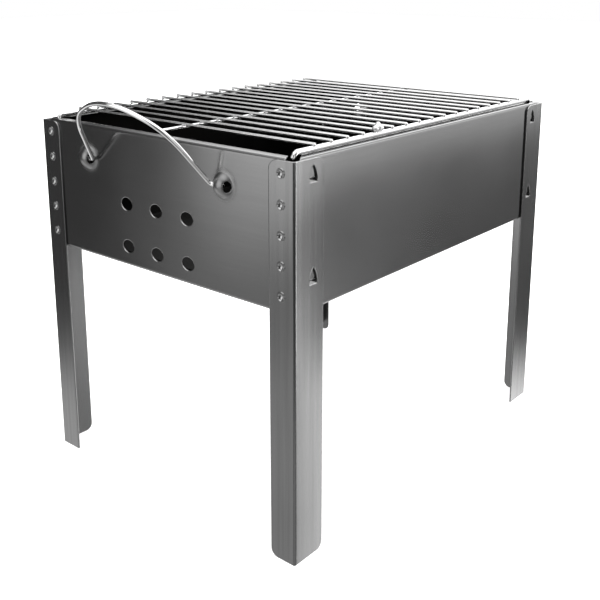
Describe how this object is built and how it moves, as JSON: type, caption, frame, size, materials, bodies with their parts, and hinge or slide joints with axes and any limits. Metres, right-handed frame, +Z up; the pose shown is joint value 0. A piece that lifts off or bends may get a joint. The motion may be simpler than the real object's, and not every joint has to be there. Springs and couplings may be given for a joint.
{
  "type": "folding camp grill",
  "caption": "Knock-down charcoal camp grill: an open sheet-steel firebox on angle legs, with a lift-off wire grate, an air-slotted charcoal tray and swinging bail handles.",
  "frame": {"origin": "on the floor, under the middle of the whole outline as it stands with the left handle raised", "axes": "+X along the long side from the left end to the right end, +Y from the front side to the back side, +Z up"},
  "size_m": [0.3976, 0.27, 0.319],
  "materials": {
    "leg_enamel": "semi-gloss",
    "panel_enamel": "semi-gloss",
    "rivet_steel": "semi-gloss",
    "grate_chrome": "bright",
    "handle_chrome": "bright",
    "tray_steel": "heat-proof matt black"
  },
  "bodies": {
    "end_frames": {"leg_front_left": "leg_enamel", "leg_back_left": "leg_enamel", "leg_front_right": "leg_enamel", "leg_back_right": "leg_enamel", "rivets_front_left": "rivet_steel", "rivets_back_left": "rivet_steel", "rivets_front_right": "rivet_steel", "rivets_back_right": "rivet_steel", "end_panel_left": "panel_enamel", "end_panel_right": "panel_enamel"},
    "side_panel_front": {"side_panel_front": "panel_enamel"},
    "side_panel_back": {"side_panel_back": "panel_enamel"},
    "grate": {"grate_rod_front": "grate_chrome", "grate_rod_back": "grate_chrome", "grate_centre_wire": "grate_chrome", "grate_bar_01": "grate_chrome", "grate_bar_02": "grate_chrome", "grate_bar_03": "grate_chrome", "grate_bar_04": "grate_chrome", "grate_bar_05": "grate_chrome", "grate_bar_06": "grate_chrome", "grate_bar_07": "grate_chrome", "grate_bar_08": "grate_chrome", "grate_bar_09": "grate_chrome", "grate_bar_10": "grate_chrome", "grate_bar_11": "grate_chrome", "grate_bar_12": "grate_chrome", "grate_bar_13": "grate_chrome", "grate_bar_14": "grate_chrome", "grate_bar_15": "grate_chrome", "grate_bar_16": "grate_chrome", "grate_bar_17": "grate_chrome"},
    "charcoal_tray": {"charcoal_tray": "tray_steel"},
    "handle_left": {"handle_left": "handle_chrome"},
    "handle_right": {"handle_right": "handle_chrome"}
  },
  "joints": [
    {"name": "handle_left_swing", "type": "hinge", "parent": "end_frames", "child": "handle_left", "pos_m": [-0.16122, 0.0025, 0.2647], "axis": [0, 1, 0], "range_deg": [-145.7, 34.3]},
    {"name": "handle_right_swing", "type": "hinge", "parent": "end_frames", "child": "handle_right", "pos_m": [0.19518, -0.0025, 0.2647], "axis": [0, -1, 0], "range_deg": [0, 180]},
    {"name": "side_panel_front_unhook", "type": "slide", "parent": "end_frames", "child": "side_panel_front", "axis": [0, 0, 1], "range_m": [0, 0.008]},
    {"name": "side_panel_back_unhook", "type": "slide", "parent": "end_frames", "child": "side_panel_back", "axis": [0, 0, 1], "range_m": [0, 0.008]},
    {"name": "grate_lift_off", "type": "slide", "parent": "side_panel_front", "child": "grate", "axis": [0, 0, 1], "range_m": [0, 0.05]},
    {"name": "charcoal_tray_lift_out", "type": "slide", "parent": "end_frames", "child": "charcoal_tray", "axis": [0, 0, 1], "range_m": [0, 0.07]}
  ],
  "couplings": [
    {"joint": "side_panel_back_unhook", "follows": "side_panel_front_unhook", "ratio": 1}
  ]
}
